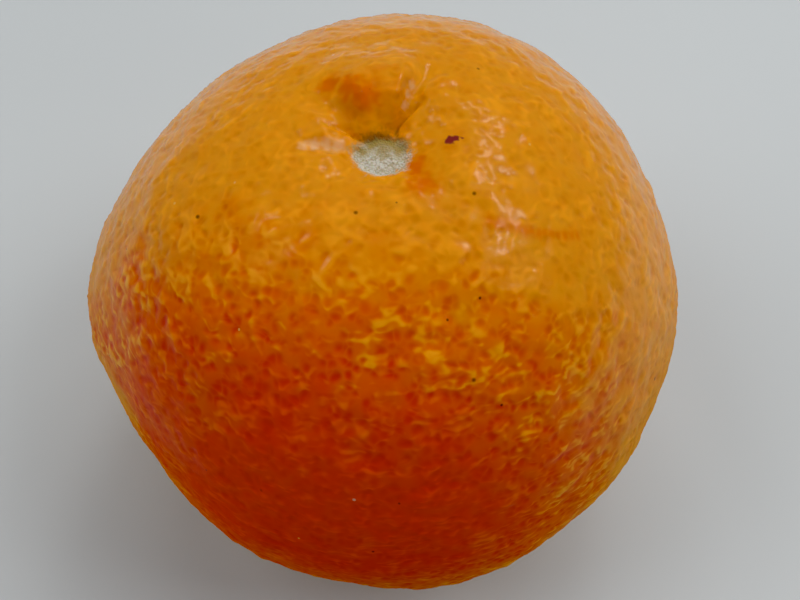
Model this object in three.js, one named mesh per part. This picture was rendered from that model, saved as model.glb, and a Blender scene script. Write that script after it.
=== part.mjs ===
// A whole mandarin, as picked, standing on its blossom end. Millimetres, +Z up along the stem axis.
// The fruit grew as one piece, so it is one closed solid: an oblate body that is a little lopsided, with a
// sunken stem end where the stalk has come away, folds that run out from its scar, and a small flat under it.
// The origin is on the surface that it stands on, under the middle of the fruit.
import * as THREE from "three";

// Driving dimensions of the body, before the swellings.
const EQUATOR_RADIUS = 34;
const TOP_HEIGHT = 32; // from the equator up to where the stem end would be with no hollow
const BASE_HEIGHT = 28; // from the equator down to where the blossom end would be with no flat
const FULLNESS = 2.2; // 2 is an ellipse, and more is squarer shoulders
const REST_CUT = 0.7; // how much the fruit's weight has flattened its underside

// Facets: rows are closest together at the stem end and the blossom end.
const SEGMENTS = 72;
const ROWS = 48;
const ROW_CROWDING = 0.78;

const RIND_COLOUR = 0xe8860f;

// Swellings and flats of the rind. Azimuth runs anticlockwise from +X seen from above, elevation up from the
// equator, both in degrees. Spread is about the half width in radians, and height is in millimetres.
const SWELLINGS = [
  { name: "left side", azimuth: 185, elevation: 10, spread: 0.2, height: 1.5 },
  { name: "front left flat", azimuth: 220, elevation: 0, spread: 0.2, height: -1 },
  { name: "back left flat", azimuth: 130, elevation: 40, spread: 0.6, height: -1.5 },
  { name: "back right shoulder", azimuth: 60, elevation: 40, spread: 0.5, height: 1.5 },
  { name: "right side", azimuth: 350, elevation: 10, spread: 0.2, height: 1 },
  { name: "front right swelling", azimuth: 320, elevation: -5, spread: 0.3, height: 1 },
  { name: "front swelling", azimuth: 285, elevation: -15, spread: 0.2, height: 1 },
  { name: "back swelling", azimuth: 95, elevation: -10, spread: 0.3, height: 1 },
  { name: "back right flat", azimuth: 40, elevation: -15, spread: 0.3, height: -1 },
  { name: "back left heel", azimuth: 145, elevation: -30, spread: 0.3, height: 1 },
];

// The hollow at the stem end, and the round scar at the bottom of it.
const HOLLOW = { depth: 2.8, radius: 7 };
const SCAR = { radius: 3.1, drop: 0.35, rim: 0.7 };

// Folds round the scar, as mounds and furrows on the top. Reach is the distance from the stem axis.
const MOUNDS = [
  { name: "back fold", azimuth: 101, reach: 7.6, along: 4.4, across: 4.2, height: 2.3 },
  { name: "right fold", azimuth: 20, reach: 10, along: 5, across: 5, height: 0.5 },
  { name: "left fold", azimuth: 156, reach: 8.4, along: 3.6, across: 2, height: 0.5 },
  { name: "front fold", azimuth: 285, reach: 7, along: 3.6, across: 1.9, height: 0.55 },
];
const FURROWS = [
  { name: "back left furrow", azimuth: 134, from: 3, to: 10.5, width: 1.3, depth: 1.5 },
  { name: "back right furrow", azimuth: 63, from: 3, to: 9, width: 0.8, depth: 1.3 },
  { name: "left furrow", azimuth: 174, from: 3, to: 8.5, width: 0.7, depth: 0.5 },
  { name: "front right furrow", azimuth: 309, from: 3, to: 8.5, width: 1.4, depth: 1.1 },
];
const FURROW_FADE = 1.6;

// The small dimple where the blossom was.
const DIMPLE = { radius: 2.6, depth: 0.8 };

const radians = THREE.MathUtils.degToRad;

function directionAt(azimuth, elevation) {
  const level = Math.cos(radians(elevation));
  return new THREE.Vector3(
    level * Math.cos(radians(azimuth)),
    level * Math.sin(radians(azimuth)),
    Math.sin(radians(elevation)),
  );
}

const swellings = SWELLINGS.map((swelling) => ({
  ...swelling,
  direction: directionAt(swelling.azimuth, swelling.elevation),
}));

// Distance from the middle of the equator to the rind along a unit direction.
function bodyRadius(direction) {
  const level = Math.hypot(direction.x, direction.y);
  const halfHeight = direction.z > 0 ? TOP_HEIGHT : BASE_HEIGHT;
  const sum = (level / EQUATOR_RADIUS) ** FULLNESS + (Math.abs(direction.z) / halfHeight) ** FULLNESS;
  let radius = sum ** (-1 / FULLNESS);
  for (const swelling of swellings)
    radius += swelling.height * Math.exp((direction.dot(swelling.direction) - 1) / swelling.spread ** 2);
  return radius;
}

// Height of the stem end's folds above the plain body at a place on the top, below zero in a furrow.
function foldHeight(x, y) {
  const reach = Math.hypot(x, y);
  let height = -HOLLOW.depth * Math.exp(-((reach / HOLLOW.radius) ** 2));
  for (const mound of MOUNDS) {
    const angle = radians(mound.azimuth);
    const along = x * Math.cos(angle) + y * Math.sin(angle) - mound.reach;
    const across = y * Math.cos(angle) - x * Math.sin(angle);
    height += mound.height * Math.exp(-((along / mound.along) ** 2) - (across / mound.across) ** 2);
  }
  for (const furrow of FURROWS) {
    const angle = radians(furrow.azimuth);
    const along = x * Math.cos(angle) + y * Math.sin(angle);
    const across = y * Math.cos(angle) - x * Math.sin(angle);
    const start = THREE.MathUtils.smoothstep(along, furrow.from - FURROW_FADE, furrow.from + FURROW_FADE);
    const end = 1 - THREE.MathUtils.smoothstep(along, furrow.to - 2 * FURROW_FADE, furrow.to + FURROW_FADE);
    height -= furrow.depth * start * end * Math.exp(-((across / furrow.width) ** 2));
  }
  return height;
}

const scarLevel = foldHeight(0, 0) - SCAR.drop;

// The folds, run into the level scar at the bottom of the hollow.
function stemEndHeight(x, y) {
  const reach = Math.hypot(x, y);
  const outside = THREE.MathUtils.smoothstep(reach, SCAR.radius - SCAR.rim, SCAR.radius + SCAR.rim);
  return THREE.MathUtils.lerp(scarLevel, foldHeight(x, y), outside);
}

// A point of the rind for a unit direction, with the resting surface at z = 0.
function rindPoint(direction) {
  const point = direction.clone().multiplyScalar(bodyRadius(direction));
  if (direction.z > 0) {
    point.z += stemEndHeight(point.x, point.y);
    point.z += BASE_HEIGHT - REST_CUT;
    return point;
  }
  point.z = Math.max(point.z + BASE_HEIGHT - REST_CUT, 0);
  const reach = Math.hypot(point.x, point.y);
  if (reach < DIMPLE.radius) point.z += DIMPLE.depth * (1 - (reach / DIMPLE.radius) ** 2) ** 2;
  return point;
}

function makeRind() {
  const geometry = new THREE.SphereGeometry(1, SEGMENTS, ROWS);
  const position = geometry.getAttribute("position");
  const uv = geometry.getAttribute("uv");
  const direction = new THREE.Vector3();
  for (let i = 0; i < position.count; i++) {
    const row = 1 - uv.getY(i);
    const turn = 2 * Math.PI * (Math.round(uv.getX(i) * SEGMENTS) % SEGMENTS) / SEGMENTS;
    const polar = Math.PI * row - (ROW_CROWDING / 2) * Math.sin(2 * Math.PI * row);
    direction.set(Math.sin(polar) * Math.cos(turn), Math.sin(polar) * Math.sin(turn), Math.cos(polar));
    const point = rindPoint(direction);
    position.setXYZ(i, point.x, point.y, point.z);
  }
  geometry.computeVertexNormals();
  geometry.computeBoundingBox();
  const material = new THREE.MeshStandardMaterial({ color: RIND_COLOUR, roughness: 0.42, metalness: 0 });
  const rind = new THREE.Mesh(geometry, material);
  rind.name = "mandarin";
  const middle = geometry.boundingBox.getCenter(new THREE.Vector3());
  rind.position.set(-middle.x, -middle.y, 0);
  return rind;
}

const mandarin = new THREE.Group();
mandarin.add(makeRind());

export default mandarin;
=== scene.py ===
"""A whole mandarin that stands on its blossom end: a pebbled, waxy, orange rind round a sunken stem end.

Lengths in the shape and pattern functions are in millimetres from the stem axis and the resting surface.
"""
import math

import bpy
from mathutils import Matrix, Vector
import numpy as np


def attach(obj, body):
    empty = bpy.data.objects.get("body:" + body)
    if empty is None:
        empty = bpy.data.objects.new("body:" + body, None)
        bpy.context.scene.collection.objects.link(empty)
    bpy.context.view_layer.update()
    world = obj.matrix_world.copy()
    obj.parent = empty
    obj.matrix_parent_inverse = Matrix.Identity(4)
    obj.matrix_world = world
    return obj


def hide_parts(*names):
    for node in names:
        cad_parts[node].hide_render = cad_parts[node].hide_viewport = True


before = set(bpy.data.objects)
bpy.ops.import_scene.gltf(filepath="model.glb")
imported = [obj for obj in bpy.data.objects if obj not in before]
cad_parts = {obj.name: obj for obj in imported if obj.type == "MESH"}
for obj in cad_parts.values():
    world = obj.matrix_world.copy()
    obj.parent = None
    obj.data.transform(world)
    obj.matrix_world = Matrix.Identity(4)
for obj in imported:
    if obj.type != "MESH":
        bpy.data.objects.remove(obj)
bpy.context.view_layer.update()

MM = 0.001

CORK = (0.62, 0.58, 0.49)
CORK_SHADE = (0.42, 0.36, 0.24)
CORK_GREEN = (0.34, 0.24, 0.07)
# Painted shade: the brown at the foot of the back fold, where the fold meets the scar.
FOOT_PAINTED_SHADE = (0.3, 0.11, 0.02)
GOLDEN = (0.71, 0.275, 0.016)
ORANGE = (0.68, 0.125, 0.004)
RED_ORANGE = (0.65, 0.041, 0.0015)
# Painted shade: a darker red for the shaded parts of the stem end and for shallow creases.
PAINTED_SHADE_RED = (0.62, 0.1, 0.004)
# Scuffed rind, pale pinkish white; left of the scar it is also a painted highlight.
SCUFF_AND_HIGHLIGHT = (0.78, 0.5, 0.3)
FLECK = (0.75, 0.58, 0.36)
PALE_SPECK = (0.75, 0.42, 0.1)
BRUISE = (0.2, 0.018, 0.025)
BLACKENED = (0.05, 0.012, 0.008)

# The body, before the swellings.
EQUATOR_RADIUS = 34
TOP_HEIGHT = 32
BASE_HEIGHT = 28
FULLNESS = 2.2
REST_CUT = 0.7
EQUATOR_LEVEL = BASE_HEIGHT - REST_CUT
SCAR_LEVEL = EQUATOR_LEVEL + TOP_HEIGHT - 3.9

# Swellings and flats of the body: azimuth and elevation in degrees, spread in radians, height.
SWELLINGS = [
    (185, 10, 0.2, 1.5),
    (220, 0, 0.2, -1),
    (130, 40, 0.6, -1.5),
    (60, 40, 0.5, 1.5),
    (350, 10, 0.2, 1),
    (320, -5, 0.3, 1),
    (285, -15, 0.2, 1),
    (95, -10, 0.3, 1),
    (40, -15, 0.3, -1),
    (145, -30, 0.3, 1),
]

# The stem end: a hollow, with the round scar of the stalk at the bottom of it.
HOLLOW_DEPTH = 2.6
HOLLOW_RADIUS = 7.5
SCAR_RADIUS = 2.75
SCAR_DROP = 0.3

# Folds round the scar: azimuth where each starts and ends, past 360 for the last, width of its flanks there
# in degrees, its height, and how far from the stem axis it starts, is highest and ends.
FOLDS = [
    (62, 138, 14, 30, 2.0, 1.8, 6.0, 15),
    (138, 178, 14, 12, 0.5, 2.6, 6.0, 12),
    (178, 312, 16, 14, 0.5, 2.7, 5.5, 11),
    (312, 422, 40, 10, 0.5, 2.6, 8.5, 15),
]

# Creases between the folds: azimuth, where each starts and ends, half width, depth, and sideways bend per mm.
CREASES = [
    (136, 2.4, 7.5, 0.35, 0.9, 0.04),
    (64, 2.2, 7.5, 0.35, 0.9, -0.03),
    (172, 2.8, 7.0, 0.5, 0.2, 0.02),
    (318, 2.4, 7.5, 0.9, 0.35, 0.02),
]

DIMPLE_RADIUS = 2.6
DIMPLE_DEPTH = 0.8

# Lights: name, azimuth, elevation, size in metres, power in watts. The fills are broad and soft, and the
# gloss does not show them. The lamps are thin tubes, which it does show, as short bright streaks.
FILLS = [
    ("right_fill", 0, 50, (0.5, 0.5), 3.0),
    ("back_right_fill", 60, 50, (0.5, 0.5), 1.5),
    ("back_fill", 90, 60, (0.6, 0.4), 2.0),
    ("left_fill", 180, 50, (0.6, 0.6), 2.2),
    ("left_low_fill", 184, 14, (0.6, 0.4), 1.2),
    ("front_low_fill", 305, 20, (0.6, 0.4), 0.6),
]
LAMPS = [
    ("right_tube", 14, 52, (0.25, 0.03), 0.4),
    ("back_right_tube", 36, 56, (0.25, 0.03), 0.4),
    ("far_tube", 66, 46, (0.3, 0.04), 0.35),
    ("left_tube", 150, 58, (0.2, 0.04), 0.15),
]
LIGHT_TARGET = (0, 0, 0.03)
LIGHT_DISTANCE = 1.0

# The camera looks down at the middle of the equator from the front. Its distance is from there.
CAMERA_DISTANCE = 3.7 * EQUATOR_RADIUS
CAMERA_ELEVATION = 60
CAMERA_LENS = 45.45
CAMERA_SHIFT = 0.023

# The dim light from all round, and the level below which tones go black, which deepens the shadows a little.
WORLD_COLOUR = (0.95, 0.98, 1.0, 1)
WORLD_STRENGTH = 0.1
BLACK_LEVEL = 0.012

# The floor, in millimetres: how far it goes each way, how high its sweep rises, and how many lines it has.
FLOOR_REACH = 2600
SWEEP_HEIGHT = 2200
FLOOR_LINES = 81
FLOOR_COLOUR = (0.6, 0.63, 0.64, 1)

# The middle of the reddest side: azimuth and elevation. Its deep red is partly a real blush and partly
# painted shade of that side.
BLUSH_AND_SHADE_SIDE = (258, 14)

# Where the rind stays yellow beside the red: azimuth and elevation.
PALE_CHEEKS = [(206, 8), (325, 6)]

# Marks on the rind, each a row of round spots: colour, how solid it is, how soft its edge is (0 to 1), how
# fine its ragged edge is in millimetres, how many spots, then azimuth, elevation and radius of the first and
# the last. The spots between them are evenly spaced.
MARKS = [
    # The first four rows are painted shade in a darker red: over the back fold, on its shaded left flank, in
    # the hollow in front of the scar on the right, and as lines along shallow creases on the front right.
    (PAINTED_SHADE_RED, 0.35, 0.9, 1.2, 1, (100, 80, 3), (100, 80, 3)),
    (PAINTED_SHADE_RED, 0.75, 0.7, 0.8, 3, (125, 73, 1.1), (110, 80, 1.4)),
    (PAINTED_SHADE_RED, 0.75, 0.8, 0.8, 2, (330, 83, 1.1), (310, 79, 1.5)),
    (PAINTED_SHADE_RED, 0.5, 0.9, 0.5, 14, (320, 66, 0.6), (337, 52, 0.4)),
    # Left of the scar: partly scuffed rind, partly a painted highlight along the crease. The next row is
    # scuffed rind.
    (SCUFF_AND_HIGHLIGHT, 0.5, 0.8, 0.5, 4, (178, 76, 0.5), (172, 82, 0.6)),
    (SCUFF_AND_HIGHLIGHT, 0.4, 0.8, 0.4, 3, (67, 76, 0.4), (66, 80, 0.4)),
    (BRUISE, 0.95, 0.3, 0.4, 4, (3, 78, 0.5), (4, 75, 0.1)),
]

# Small specks scattered everywhere: how far apart they are, radius of the largest, and colour.
SPECKS = [
    (4.2, 0.19, BLACKENED),
    (7.5, 0.34, BLACKENED),
    (5.5, 0.2, PALE_SPECK),
    (12, 0.28, FLECK),
]

# Where the blush and painted shade begin and are full, as a share of the way out to the reddest side, and how
# strong they get.
BLUSH_AND_SHADE_BEGINS = 0.26
BLUSH_AND_SHADE_FULL = 1.06
BLUSH_AND_SHADE_STRENGTH = 0.95

# Oil glands: how far apart, how scattered, from 0 for rows to 1, and how deep. Ridges between them: how high.
GLAND_SPACING = 1.1
GLAND_SCATTER = 0.9
GLAND_DEPTH = 0.13
RIDGE_HEIGHT = 0.12

# How far from its middle the corky scar begins to fade and is gone.
SCAR_WHOLE = 2.5
SCAR_GONE = 3.8

# The rind's grid: cells along each edge of its cube, and how strongly they crowd to the stem end.
GRID_CELLS = 128
STEM_CROWDING = 0.4


# Patterns that the mesh and the material share. A place is an array of points, or a Wire that carries one.


class Wire:
    """An output socket in a material. Arithmetic with numbers and other Wires adds Math nodes."""

    def __init__(self, tree, socket):
        self.tree = tree
        self.socket = socket

    def node(self, kind, settings, inputs, output=0):
        """Adds a node of any kind: first its settings, then the value or the Wire of each named input."""
        node = self.tree.nodes.new(kind)
        for name, value in settings.items():
            setattr(node, name, value)
        for name, value in inputs.items():
            if isinstance(value, Wire):
                self.tree.links.new(value.socket, node.inputs[name])
            else:
                node.inputs[name].default_value = value
        return Wire(self.tree, node.outputs[output])

    def maths(self, operation, first, second=0.0):
        return self.node("ShaderNodeMath", {"operation": operation}, {0: first, 1: second})

    def __add__(self, other):
        return self.maths("ADD", self, other)

    def __radd__(self, other):
        return self.maths("ADD", other, self)

    def __sub__(self, other):
        return self.maths("SUBTRACT", self, other)

    def __rsub__(self, other):
        return self.maths("SUBTRACT", other, self)

    def __mul__(self, other):
        return self.maths("MULTIPLY", self, other)

    def __rmul__(self, other):
        return self.maths("MULTIPLY", other, self)

    def __truediv__(self, other):
        return self.maths("DIVIDE", self, other)

    def __pow__(self, other):
        return self.maths("POWER", self, other)


def smooth(value, low, high):
    """0 on low's side, 1 on high's side, and the S curve 3tt - 2ttt between them."""
    if isinstance(value, Wire):
        inputs = {"Value": value, "From Min": low, "From Max": high}
        return value.node("ShaderNodeMapRange", {"interpolation_type": "SMOOTHSTEP"}, inputs)
    t = np.clip((value - low) / (high - low), 0, 1)
    return t * t * (3 - 2 * t)


def coordinate(place, axis):
    if isinstance(place, Wire):
        return place.node("ShaderNodeSeparateXYZ", {}, {0: place}, axis)
    return place[..., axis]


def distance(place, centre):
    """How far the place is from a fixed point."""
    if isinstance(place, Wire):
        return place.node("ShaderNodeVectorMath", {"operation": "DISTANCE"}, {0: place, 1: centre}, 1)
    return np.linalg.norm(place - centre, axis=-1)


def moved(place, x, y, z):
    if isinstance(place, Wire):
        offset = place.node("ShaderNodeCombineXYZ", {}, {0: x, 1: y, 2: z})
        return place.node("ShaderNodeVectorMath", {"operation": "ADD"}, {0: place, 1: offset})
    return place + np.stack(np.broadcast_arrays(x, y, z), -1)


def in_cells(place, size, shift):
    """The place counted in cells of that size, which is one number or one for each axis."""
    rate = np.broadcast_to(1 / np.asarray(size, float), 3)
    if isinstance(place, Wire):
        inputs = {0: place, 1: tuple(rate), 2: (shift, shift, shift)}
        return place.node("ShaderNodeVectorMath", {"operation": "MULTIPLY_ADD"}, inputs)
    return place * rate + shift


def turned(value, count):
    return (value << np.uint32(count)) | (value >> np.uint32(32 - count))


def jumbled(*numbers):
    """Hash of 3 or 4 arrays of 32-bit whole numbers: the one inside Blender's own textures."""
    start = np.uint32(0xDEADBEEF + 4 * len(numbers) + 13)
    a, b, c = (number + start for number in numbers[:3])
    if len(numbers) == 4:
        for count in (4, 6, 8, 16, 19, 4):
            a = (a - c) ^ turned(c, count)
            c = c + b
            a, b, c = b, c, a
        a = a + numbers[3]
    for count in (14, 11, 25, 16, 4, 14, 24):
        c = (c ^ b) - turned(b, count)
        a, b, c = b, c, a
    return b


def noise(place, size, shift):
    """Perlin noise: a smooth swing about 0, mostly between -0.6 and 0.6, with lumps of the given size."""
    place = in_cells(place, size, shift)
    if isinstance(place, Wire):
        inputs = {"Vector": place, "Scale": 1.0, "Detail": 0.0}
        return place.node("ShaderNodeTexNoise", {"normalize": False}, inputs)
    corner = np.floor(place)
    part = place - corner
    fade = part**3 * (part * (part * 6 - 15) + 10)
    total = np.zeros(part.shape[:-1])
    for step in np.ndindex(2, 2, 2):
        whole = (corner + step).astype(np.int64).astype(np.uint32)
        code = jumbled(*np.moveaxis(whole, -1, 0)) & 15
        x, y, z = np.moveaxis(part - step, -1, 0)
        first = np.where(code < 8, x, y)
        second = np.where(code < 4, y, np.where((code == 12) | (code == 14), x, z))
        slope = np.where(code & 1, -first, first) + np.where(code & 2, -second, second)
        total += slope * np.prod(np.where(step, fade, 1 - fade), -1)
    return 0.982 * total


def cells(place, size, shift, scatter):
    """Worley noise: the distance, in cells, to the nearest of the points that are scattered one to a cell."""
    place = in_cells(place, size, shift)
    if isinstance(place, Wire):
        inputs = {"Vector": place, "Scale": 1.0, "Randomness": scatter}
        return place.node("ShaderNodeTexVoronoi", {"feature": "F1"}, inputs)
    corner = np.floor(place)
    nearest = np.full(place.shape[:-1], 9.0)
    for step in np.ndindex(3, 3, 3):
        cell = corner + step - 1
        bits = [cell[..., axis].astype(np.float32).view(np.uint32) for axis in range(3)]
        marks = [np.full_like(bits[0], np.float32(number).view(np.uint32)) for number in (1, 2)]
        spots = [jumbled(*bits)] + [jumbled(*bits, mark) for mark in marks]
        point = cell + scatter * np.stack(spots, -1) / 0xFFFFFFFF
        nearest = np.minimum(nearest, np.linalg.norm(point - place, axis=-1))
    return nearest


# What grows on the rind, all as functions of the place on it.


def blush_and_painted_shade(place):
    """0 to 1: how far the rind has turned from yellow to a deeper red on one side, partly as a real blush and
    partly as painted shade.

    It is weaker near the stem end, below the equator and on the pale cheeks, and its edge wanders with noise.
    """
    x, y, z = (coordinate(place, axis) for axis in range(3))
    side = [float(part) / EQUATOR_RADIUS for part in unit(*BLUSH_AND_SHADE_SIDE)]
    towards = x * side[0] + y * side[1] + (z - EQUATOR_LEVEL) * side[2]
    towards = towards + 0.1 * noise(place, 9, 7) + 0.06 * noise(place, 3.2, 19)
    for azimuth, elevation in PALE_CHEEKS:
        towards = towards - 0.25 * smooth(distance(place, tuple(on_rind(azimuth, elevation))), 8, 2)
    towards = towards - 0.1 * smooth(z, 46, 57)
    return BLUSH_AND_SHADE_STRENGTH * smooth(towards, BLUSH_AND_SHADE_BEGINS, BLUSH_AND_SHADE_FULL) * (1 - 0.6 * smooth(z, 32, 14))


def bent(place):
    """The place pushed about by noise, so that patterns on it lose their regular look."""
    return moved(place, *[0.4 * noise(place, 1.4, shift) for shift in (11, 23, 37)])


def roughening(place):
    """How strongly the rind is pebbled: least round the stem end, most in the middle, less underneath."""
    z = coordinate(place, 2)
    return 0.55 + 0.45 * smooth(z, 58, 49) - 0.3 * smooth(z, 30, 14)


def swells(place):
    """The slow rise and fall of the rind and the lumps on it, in millimetres."""
    return 0.22 * noise(place, 6.5, 3) + 0.16 * noise(place, 2.5, 71) + 0.05 * noise(place, 1.2, 29)


def ridges(place):
    """0 to 1: short thin ridges between the glands, longer round the fruit than up it, in loose groups."""
    crest = noise(place, (1.0, 1.0, 0.45), 5) + 0.85 * noise(place, (3.4, 3.4, 1.5), 61)
    return smooth(crest, -0.15, 1.0)


def glands(place):
    """0 to 1: 1 in the middle of an oil gland and 0 between glands. Some patches have fainter glands."""
    strength = 0.55 + 0.45 * smooth(noise(place, 2.6, 15), -0.4, 0.3)
    return smooth(cells(place, GLAND_SPACING, 0, GLAND_SCATTER), 0.68, 0.05) * strength


def scar_reach(place):
    """How far the place is from the middle of the scar, made ragged, and more on the back fold's side."""
    ragged = 0.7 * noise(place, 0.9, 47) + 0.4 * noise(place, 0.3, 43)
    return distance(place, (0, 0.1, SCAR_LEVEL)) + 0.9 * smooth(coordinate(place, 1), 0.5, 3) + ragged


def scar_cover(place):
    """0 to 1: 1 on the corky scar of the stalk."""
    return smooth(scar_reach(place), SCAR_GONE, SCAR_WHOLE)


def relief(place):
    """Height of the rind above the smooth body, in millimetres. The scar has crumbs in place of pebbles."""
    crooked = bent(place)
    pebbles = RIDGE_HEIGHT * ridges(crooked) - GLAND_DEPTH * glands(crooked)
    crumbs = 0.14 * noise(place, 0.6, 51) + 0.1 * noise(place, 0.3, 17)
    scar = scar_cover(place)
    return (swells(place) + roughening(place) * pebbles) * (1 - scar) + crumbs * scar


# The shape of the body.


def unit(azimuth, elevation):
    azimuth, elevation = math.radians(azimuth), math.radians(elevation)
    level = math.cos(elevation)
    return np.array([level * math.cos(azimuth), level * math.sin(azimuth), math.sin(elevation)])


def body_radius(direction):
    """Distance from the middle of the equator along unit directions.

    A superellipsoid, taller above than below, plus one smooth bump for each swelling.
    """
    level = np.hypot(direction[..., 0], direction[..., 1])
    half_height = np.where(direction[..., 2] > 0, TOP_HEIGHT, BASE_HEIGHT)
    total = (level / EQUATOR_RADIUS) ** FULLNESS + (abs(direction[..., 2]) / half_height) ** FULLNESS
    radius = total ** (-1 / FULLNESS)
    for azimuth, elevation, spread, height in SWELLINGS:
        nearness = direction @ unit(azimuth, elevation)
        radius += height * np.exp((nearness - 1) / spread**2)
    return radius


def fold_height(x, y):
    """Height of the stem end above the plain body.

    A Gaussian hollow, one lobe for each fold, bounded by S curves in azimuth and in reach, and creases whose
    sides fall off exponentially, so each comes to a sharp line.
    """
    reach = np.hypot(x, y)
    azimuth = np.degrees(np.arctan2(y, x))
    wander = 0.6 * noise(np.stack([x, y, 0 * x], -1), 2.2, 83)
    height = -HOLLOW_DEPTH * np.exp(-((reach / HOLLOW_RADIUS) ** 2))
    for start, end, first_flank, last_flank, top, foot, crown, tail in FOLDS:
        turn = (azimuth - start) % 360
        lobe = smooth(turn, 0, first_flank) * smooth(turn, end - start, end - start - last_flank)
        height += top * lobe * smooth(reach, foot, crown) * smooth(reach, tail, crown)
    for direction, start, end, half_width, depth, bend in CREASES:
        turn = math.radians(direction)
        along = x * math.cos(turn) + y * math.sin(turn)
        across = y * math.cos(turn) - x * math.sin(turn) - bend * along**2 + wander
        run = smooth(along, start - 1, start + 0.6) * smooth(along, end, 0.6 * end)
        height -= depth * run * np.exp(-abs(across) / half_width)
    return height


def stem_end_height(x, y):
    """The folds, run into the level scar at the bottom of the hollow."""
    level = -HOLLOW_DEPTH - SCAR_DROP
    outside = smooth(np.hypot(x, y + 0.35 * np.maximum(y, 0)), SCAR_RADIUS - 0.5, SCAR_RADIUS + 0.4)
    return level + (fold_height(x, y) - level) * outside


def body_points(direction):
    """Places on the smooth body along unit directions, with the resting surface at 0."""
    points = direction * body_radius(direction)[..., None]
    x, y, z = np.moveaxis(points, -1, 0)
    top = z + stem_end_height(x, y)
    reach = np.hypot(x, y)
    dimple = DIMPLE_DEPTH * np.clip(1 - (reach / DIMPLE_RADIUS) ** 2, 0, 1) ** 2
    base = np.maximum(z, -EQUATOR_LEVEL) + dimple
    return np.stack([x, y, EQUATOR_LEVEL + np.where(z > 0, top, base)], -1)


def ball_grid(count):
    """Unit directions and outward quads of a cube's six faces, count by count, blown up into a ball.

    Corners are counted off on the cube's lattice, so corners that faces share are one point. A place t from
    -1 to 1 across a face goes to tan(t pi / 4), which evens out the quads, and then all of them are drawn
    towards the stem end: polar angle p becomes p - STEM_CROWDING sin p (1 + cos p) / 2.
    """
    first, second = np.meshgrid(np.arange(count + 1), np.arange(count + 1), indexing="ij")
    corners = np.arange((count + 1) ** 2).reshape(count + 1, count + 1)
    ring = [corners[:-1, :-1], corners[1:, :-1], corners[1:, 1:], corners[:-1, 1:]]
    quads = np.stack(ring, -1).reshape(-1, 4)
    lattices, faces = [], []
    for axis in range(3):
        for side in (0, count):
            lattice = np.empty((count + 1, count + 1, 3), int)
            lattice[..., axis] = side
            lattice[..., (axis + 1) % 3] = first
            lattice[..., (axis + 2) % 3] = second
            faces.append((quads if side else quads[:, ::-1]) + len(lattices) * corners.size)
            lattices.append(lattice.reshape(-1, 3))
    lattice = np.concatenate(lattices)
    code = lattice @ [1, count + 1, (count + 1) ** 2]
    _, kept, place = np.unique(code, return_index=True, return_inverse=True)
    cube = np.tan((lattice[kept] * 2 / count - 1) * math.pi / 4)
    direction = cube / np.linalg.norm(cube, axis=1, keepdims=True)
    polar = np.arccos(np.clip(direction[:, 2], -1, 1))
    drawn = polar - STEM_CROWDING * np.sin(polar) * (1 + np.cos(polar)) / 2
    turn = np.arctan2(direction[:, 1], direction[:, 0])
    level = np.sin(drawn)
    direction = np.stack([level * np.cos(turn), level * np.sin(turn), np.cos(drawn)], -1)
    return direction, place.ravel()[np.concatenate(faces)]


def outward(points, quads):
    """Unit normals at the points: the cross products of the quads' diagonals, summed round each point."""
    diagonals = points[quads[:, 2]] - points[quads[:, 0]], points[quads[:, 3]] - points[quads[:, 1]]
    across = np.cross(*diagonals)
    total = np.zeros_like(points)
    for axis in range(3):
        weights = np.repeat(across[:, axis], 4)
        total[:, axis] = np.bincount(quads.ravel(), weights, len(points))
    return total / np.linalg.norm(total, axis=1, keepdims=True)


def make_mesh(name, points, quads):
    mesh = bpy.data.meshes.new(name)
    mesh.vertices.add(len(points))
    mesh.vertices.foreach_set("co", np.asarray(points, np.float32).ravel() * MM)
    mesh.loops.add(quads.size)
    mesh.loops.foreach_set("vertex_index", quads.astype(np.int32).ravel())
    mesh.polygons.add(len(quads))
    mesh.polygons.foreach_set("loop_start", np.arange(0, quads.size, 4, dtype=np.int32))
    mesh.polygons.foreach_set("use_smooth", np.ones(len(quads), bool))
    mesh.update()
    mesh.validate()
    piece = bpy.data.objects.new(name, mesh)
    bpy.context.scene.collection.objects.link(piece)
    return piece


def make_rind():
    """The whole skin as one closed surface: the body, raised along its normals by the relief."""
    direction, quads = ball_grid(GRID_CELLS)
    points = body_points(direction)
    middle = (points.min(0) + points.max(0)) / 2
    points = points + outward(points, quads) * relief(points)[:, None]
    points[:, 2] = np.maximum(points[:, 2], 0)
    points[:, :2] -= middle[:2]
    return make_mesh("rind", points, quads), middle


def blend(factor, first, second):
    """Mix of two colours, each one a Wire or red, green and blue."""
    first, second = (colour if isinstance(colour, Wire) else (*colour, 1) for colour in (first, second))
    return factor.node("ShaderNodeMix", {"data_type": "RGBA"}, {0: factor, 6: first, 7: second}, 2)


def on_rind(azimuth, elevation):
    """The place on the rind in that direction from the middle of the equator."""
    return body_points(unit(azimuth, elevation)[None])[0]


def with_marks(colour, place):
    """The colour with specks scattered everywhere, and the marks that have their own places."""
    for number, (spacing, radius, tint) in enumerate(SPECKS):
        reach = spacing * cells(place, spacing, 9 + 11 * number, 1.0)
        colour = blend(0.8 * smooth(reach, radius, 0.45 * radius), colour, tint)
    for tint, solid, softness, fineness, spots, first, last in MARKS:
        nearest = None
        for azimuth, elevation, radius in np.linspace(first, last, spots):
            near = distance(place, tuple(on_rind(azimuth, elevation))) / float(radius)
            nearest = near if nearest is None else nearest.maths("MINIMUM", nearest, near)
        covered = smooth(nearest + 0.6 * noise(place, fineness, 77), 1 + softness, 1 - softness)
        colour = blend(solid * covered, colour, tint)
    return colour


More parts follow.
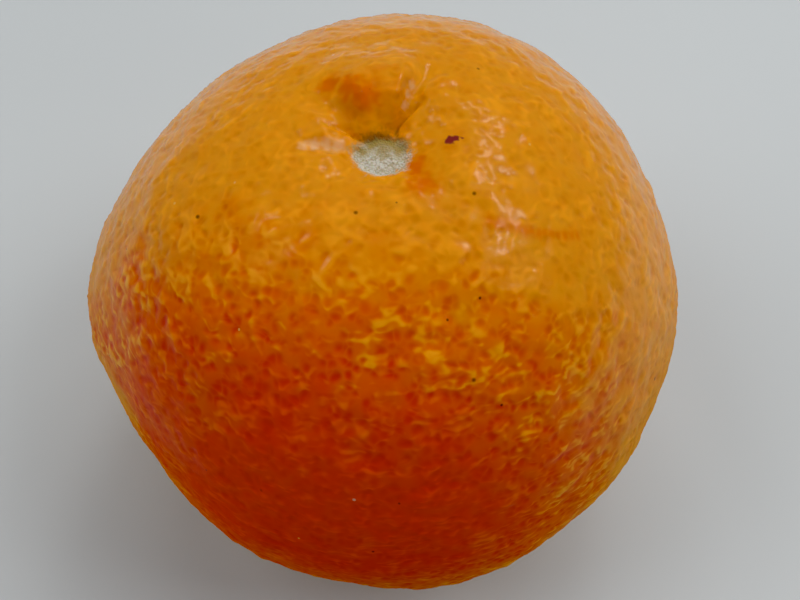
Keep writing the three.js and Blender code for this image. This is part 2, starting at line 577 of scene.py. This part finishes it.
def rind_material(middle):
    material = bpy.data.materials.new("waxy_rind")
    material.use_nodes = True
    tree = material.node_tree
    shader = tree.nodes["Principled BSDF"]
    start = Wire(tree, tree.nodes.new("ShaderNodeTexCoord").outputs["Object"])
    inputs = {0: start, 1: (1 / MM, 1 / MM, 1 / MM), 2: (middle[0], middle[1], 0.0)}
    place = start.node("ShaderNodeVectorMath", {"operation": "MULTIPLY_ADD"}, inputs)
    crooked = bent(place)
    gland = glands(crooked)
    ridge = ridges(crooked)
    # The deep red side is partly a real blush and partly painted shade, darker and redder on the side that
    # faces the front.
    red_and_painted_shade = blush_and_painted_shade(place)
    middling = 4 * red_and_painted_shade * (1 - red_and_painted_shade)
    # Glands redder and darker, ridges yellower and lighter: partly the rind's own tones, partly painted shade
    # in the gland pits and painted light on the ridge crests.
    redder = (0.08 + 0.36 * middling**2) * (gland - 0.25)
    yellower = (0.06 + 0.5 * middling**2) * (ridge - 0.15)
    red = red_and_painted_shade + redder - yellower
    red = red + 0.1 * noise(place, 1.6, 87) + 0.12 * middling * noise(place, 3.0, 93)
    colour = blend(smooth(red, -0.1, 0.5), GOLDEN, ORANGE)
    colour = blend(smooth(red, 0.35, 1.0), colour, RED_ORANGE)
    tone_and_painted_shade = 1 + 0.16 * ridge - 0.1 * gland
    colour = colour.node("ShaderNodeVectorMath", {"operation": "SCALE"}, {0: colour, 3: tone_and_painted_shade})
    colour = with_marks(colour, place)
    grain = noise(place, 0.22, 51) + 0.6 * noise(place, 0.8, 91)
    cork = blend(smooth(grain, -0.6, 0.5), CORK_SHADE, CORK)
    cork = blend(smooth(coordinate(place, 1) + 1.4 * noise(place, 0.9, 35), -1.0, 1.8), cork, CORK_GREEN)
    scar = scar_cover(place)
    reach = scar_reach(place)
    # Painted shade: a brown band round the back edge of the scar, at the foot of the fold that shades it.
    foot = smooth(coordinate(place, 1), 0.8, 2.4) * smooth(reach, 2.3, 2.8) * smooth(reach, 4.2, 3.2)
    colour = blend(0.85 * foot, blend(scar, colour, cork), FOOT_PAINTED_SHADE)
    tree.links.new(colour.socket, shader.inputs["Base Color"])
    height = 0.012 * noise(place, 0.5, 41) - 0.05 * gland * (1 - scar) + 0.1 * noise(place, 0.2, 13) * scar
    bump = start.node("ShaderNodeBump", {}, {"Height": height, "Strength": 0.8, "Distance": MM})
    tree.links.new(bump.socket, shader.inputs["Normal"])
    wax = (0.1 + 0.8 * smooth(coordinate(place, 2), 30, 50)) * (1 - 0.9 * scar) * (1 - 0.5 * red_and_painted_shade)
    tree.links.new(wax.socket, shader.inputs["Coat Weight"])
    shader.inputs["Coat Roughness"].default_value = 0.15
    shader.inputs["Coat IOR"].default_value = 1.38
    shader.inputs["Specular IOR Level"].default_value = 0
    shader.inputs["Roughness"].default_value = 0.6
    shader.inputs["Subsurface Weight"].default_value = 0.25
    shader.inputs["Subsurface Radius"].default_value = (1.0, 0.3, 0.08)
    shader.inputs["Subsurface Scale"].default_value = 1.2 * MM
    return material


def make_floor():
    """A square of floor that sweeps up all round: its height is an S curve of the reach from the middle."""
    side = np.linspace(-FLOOR_REACH, FLOOR_REACH, FLOOR_LINES)
    x, y = np.meshgrid(side, side, indexing="ij")
    height = SWEEP_HEIGHT * smooth(np.hypot(x, y), 0.45 * FLOOR_REACH, FLOOR_REACH)
    first = np.arange(FLOOR_LINES * (FLOOR_LINES - 1)).reshape(-1, FLOOR_LINES)[:, :-1].ravel()
    quads = np.stack([first, first + FLOOR_LINES, first + FLOOR_LINES + 1, first + 1], -1)
    floor = make_mesh("floor", np.stack([x, y, height], -1).reshape(-1, 3), quads)
    material = bpy.data.materials.new("pale_floor")
    material.use_nodes = True
    shader = material.node_tree.nodes["Principled BSDF"]
    shader.inputs["Base Color"].default_value = FLOOR_COLOUR
    shader.inputs["Roughness"].default_value = 0.5
    floor.data.materials.append(material)
    return floor


def add_light(name, azimuth, elevation, size, power):
    """A square light LIGHT_DISTANCE from the middle of the fruit that faces it."""
    lamp = bpy.data.lights.new(name, "AREA")
    lamp.shape = "RECTANGLE"
    lamp.size, lamp.size_y = size
    lamp.energy = power
    holder = bpy.data.objects.new(name, lamp)
    bpy.context.scene.collection.objects.link(holder)
    offset = unit(azimuth, elevation)
    holder.location = np.array(LIGHT_TARGET) + LIGHT_DISTANCE * offset
    holder.rotation_euler = Vector(-offset).to_track_quat("-Z", "Y").to_euler()
    return holder


def make_camera(middle):
    lens = bpy.data.cameras.new("camera")
    lens.lens = CAMERA_LENS
    lens.sensor_width = 36
    lens.shift_x = CAMERA_SHIFT
    lens.clip_start = 0.005
    holder = bpy.data.objects.new("camera", lens)
    bpy.context.scene.collection.objects.link(holder)
    target = np.array([-middle[0], -middle[1], EQUATOR_LEVEL])
    holder.location = (target + CAMERA_DISTANCE * unit(-90, CAMERA_ELEVATION)) * MM
    holder.rotation_euler = (math.radians(90 - CAMERA_ELEVATION), 0, 0)
    bpy.context.scene.camera = holder


rind, middle = make_rind()
rind.data.materials.append(rind_material(middle))
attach(rind, "root")
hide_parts("mandarin")
make_floor()
make_camera(middle)
for name, azimuth, elevation, size, power in FILLS:
    add_light(name, azimuth, elevation, size, power).visible_glossy = False
for name, azimuth, elevation, size, power in LAMPS:
    add_light(name, azimuth, elevation, size, power)

world = bpy.data.worlds.new("studio")
bpy.context.scene.world = world
world.use_nodes = True
world.node_tree.nodes["Background"].inputs[0].default_value = WORLD_COLOUR
world.node_tree.nodes["Background"].inputs[1].default_value = WORLD_STRENGTH
look = bpy.context.scene.view_settings
look.view_transform = "Standard"
look.use_curve_mapping = True
look.curve_mapping.black_level = (BLACK_LEVEL, BLACK_LEVEL, BLACK_LEVEL)
look.curve_mapping.update()
